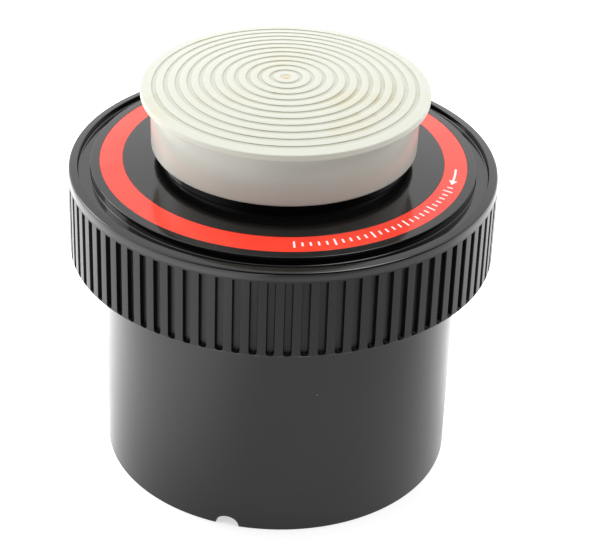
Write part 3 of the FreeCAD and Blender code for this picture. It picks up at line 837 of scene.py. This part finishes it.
def make_cap():
    """The cap: domed grooved top, wide rim, skirt and inner sealing lip."""
    rise = cap_crown - CAP_EDGE_TOP
    sphere = ((cap_radius - CAP_RIM_ROUND) ** 2 + rise ** 2) / (2 * rise)

    def dome(radius):
        return cap_crown - sphere + math.sqrt(sphere ** 2 - radius ** 2)

    corners = [
        (0, CAP_CEILING, 0, 0),
        (CAP_LIP_INNER, CAP_CEILING, 0.5, 0),
        (CAP_LIP_INNER, CAP_LIP_BOTTOM, 0.5, 0),
        (CAP_LIP_OUTER, CAP_LIP_BOTTOM, 0.5, 0),
        (CAP_LIP_OUTER, CAP_CEILING, 0, 0),
        # Skirt faces, tag 3, take the darker cream: painted shade.
        (CAP_SKIRT_INNER, CAP_CEILING_LOW, 0, 3),
        (CAP_SKIRT_INNER, cap_skirt_bottom, 0.5, 3),
        (CAP_SKIRT_LOW, cap_skirt_bottom, 0.6, 3),
        (CAP_SKIRT_TOP, CAP_EDGE_UNDER, 0.8, 3),
        (cap_radius, CAP_EDGE_UNDER, CAP_RIM_ROUND, 0),
        (cap_radius, CAP_EDGE_TOP, CAP_RIM_ROUND, 0),
    ]
    for index in reversed(range(GROOVE_COUNT)):
        middle = GROOVE_FIRST + index * GROOVE_PITCH
        outer = middle + GROOVE_WIDTH / 2
        inner = middle - GROOVE_WIDTH / 2
        if index < GROOVE_COUNT - 1:
            land = (outer + middle + GROOVE_PITCH - GROOVE_WIDTH / 2) / 2
            corners.append((land, dome(land), 0, 0))
        corners += [
            (outer, dome(outer), GROOVE_EDGE, 0),
            # Groove floors, tag 1, take the darker cream: painted shade.
            (outer - GROOVE_DRAFT, dome(outer) - GROOVE_DEPTH, GROOVE_FLOOR, 1),
            (inner + GROOVE_DRAFT, dome(inner) - GROOVE_DEPTH, GROOVE_FLOOR, 1),
            (inner, dome(inner), GROOVE_EDGE, 0),
        ]
    wall, moat, mound = (NUB_RADIUS * share for share in NUB_SHARES)
    corners += [
        (NUB_RADIUS, dome(NUB_RADIUS), NUB_EDGE, 0),
        (wall, cap_crown - NUB_DEPTH, NUB_ROUND, 2),
        (moat, cap_crown - NUB_DEPTH, NUB_ROUND, 2),
        (mound, cap_crown - NUB_CENTRE_DEPTH, NUB_ROUND, 2),
        (0, cap_crown, 0, 2),
    ]
    cap = turned("grooved_cap", rounded(corners))
    settle(cap, "cap", [cream, cream_groove_shaded_stained, cream_nub, cream_skirt_shaded],
           ["push_on_cap"])


# ---------------------------------------------------------------- carried-over CAD nodes

def dress(node, material, edge=0.0):
    """Give a CAD node a finish, and a small bevel on its edges if an edge width is given."""
    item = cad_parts[node]
    item.data.materials.clear()
    item.data.materials.append(material)
    if edge:
        bevel = item.modifiers.new("edge", "BEVEL")
        bevel.width = edge * MM
        bevel.segments = 2
        bevel.limit_method = "ANGLE"
        bevel.angle_limit = SHARP_ANGLE * DEG
        bevel.harden_normals = False


def dress_frame():
    """The parts inside the tank: they keep their CAD shapes and get their finishes."""
    nylon = white_nylon()
    polished = steel()
    dress("lid_gasket", rubber(), edge=0.2)
    dress("centre_column", column_black, edge=0.2)
    dress("column_foot", column_black, edge=0.2)
    dress("reel_lower_half", nylon, edge=0.1)
    dress("reel_upper_half", nylon, edge=0.1)
    dress("lower_grip_ball", polished)
    dress("upper_grip_ball", polished)
    dress("reel_clip", red_clip(), edge=0.25)


# ---------------------------------------------------------------- stage

def make_floor():
    """A plain pale floor that glows though it is no lamp: most to the left and behind, and round
    the object, where the glow lifts the object's own shadow, fading away in front.
    """
    half = FLOOR_HALF
    mesh = bpy.data.meshes.new("floor")
    mesh.from_pydata([(-half, -half, 0), (half, -half, 0), (half, half, 0), (-half, half, 0)],
                     [], [(0, 1, 2, 3)])
    floor = bpy.data.objects.new("floor", mesh)
    bpy.context.scene.collection.objects.link(floor)
    n = Nodes("floor_white")
    tone = n.blend(n.noise(3.0), FLOOR_DARK, FLOOR_LIGHT)
    across = n.tree.nodes.new("ShaderNodeSeparateXYZ")
    n.feed(across.inputs[0], n.place)
    front = n.ramp(across.outputs["Y"], *FLOOR_FRONT_GLOW)
    left = n.ramp(across.outputs["X"], *FLOOR_LEFT_GLOW)
    back = n.ramp(across.outputs["Y"], *FLOOR_BACK_GLOW)
    level = n.math("ADD", front, n.math("ADD", left, back))
    floor.data.materials.append(n.set(Base_Color=tone, Roughness=0.9, Emission_Color=WHITE,
                                      Emission_Strength=level))


def glow(tree, direction, lean, low, high, start, end):
    """Brightness that grows as a direction leans a given way."""
    turn = tree.nodes.new("ShaderNodeVectorMath")
    turn.operation = "DOT_PRODUCT"
    turn.inputs[1].default_value = lean
    tree.links.new(direction, turn.inputs[0])
    level = tree.nodes.new("ShaderNodeMapRange")
    set_range(level, low, high, start, end)
    tree.links.new(turn.outputs["Value"], level.inputs["Value"])
    return level.outputs["Result"]


def make_world():
    """A white backdrop, with studio light from behind, above and the left, and none in front."""
    world = bpy.data.worlds.new("studio")
    bpy.context.scene.world = world
    world.use_nodes = True
    tree = world.node_tree
    direction = tree.nodes.new("ShaderNodeTexCoord").outputs["Generated"]
    behind = glow(tree, direction, *GLOW_BEHIND)
    beside = glow(tree, direction, *GLOW_BESIDE)
    both = tree.nodes.new("ShaderNodeMath")
    both.operation = "ADD"
    tree.links.new(behind, both.inputs[0])
    tree.links.new(beside, both.inputs[1])
    lit = tree.nodes["Background"]
    tree.links.new(both.outputs[0], lit.inputs["Strength"])
    lit.inputs["Color"].default_value = WHITE
    plain = tree.nodes.new("ShaderNodeBackground")
    plain.inputs["Color"].default_value = WHITE
    path = tree.nodes.new("ShaderNodeLightPath")
    choose = tree.nodes.new("ShaderNodeMixShader")
    tree.links.new(path.outputs["Is Camera Ray"], choose.inputs[0])
    tree.links.new(lit.outputs[0], choose.inputs[1])
    tree.links.new(plain.outputs[0], choose.inputs[2])
    tree.links.new(choose.outputs[0], tree.nodes["World Output"].inputs["Surface"])


def make_light(name, spot, size, power):
    """A large soft panel, turned towards the object."""
    data = bpy.data.lights.new(name, "AREA")
    data.shape = "SQUARE"
    data.size = size
    data.energy = power
    light = bpy.data.objects.new(name, data)
    bpy.context.scene.collection.objects.link(light)
    light.location = spot
    aim = Vector(PANEL_AIM) - Vector(spot)
    light.rotation_euler = aim.to_track_quat("-Z", "Y").to_euler()


def make_camera():
    """The camera, in front of the tank and above it."""
    data = bpy.data.cameras.new("camera")
    data.lens = CAMERA_LENS
    data.clip_start, data.clip_end = CAMERA_CLIP
    camera = bpy.data.objects.new("camera", data)
    bpy.context.scene.collection.objects.link(camera)
    camera.location = CAMERA_SPOT
    camera.rotation_euler = Euler([angle * DEG for angle in CAMERA_TURN])
    bpy.context.scene.camera = camera


make_camera()
make_world()
for panel in PANELS:
    make_light(*panel)
make_floor()
make_tank()
make_lid()
make_label()
make_label_marks()
make_funnel()
make_cap()
dress_frame()

bpy.context.scene.view_settings.view_transform = "Standard"
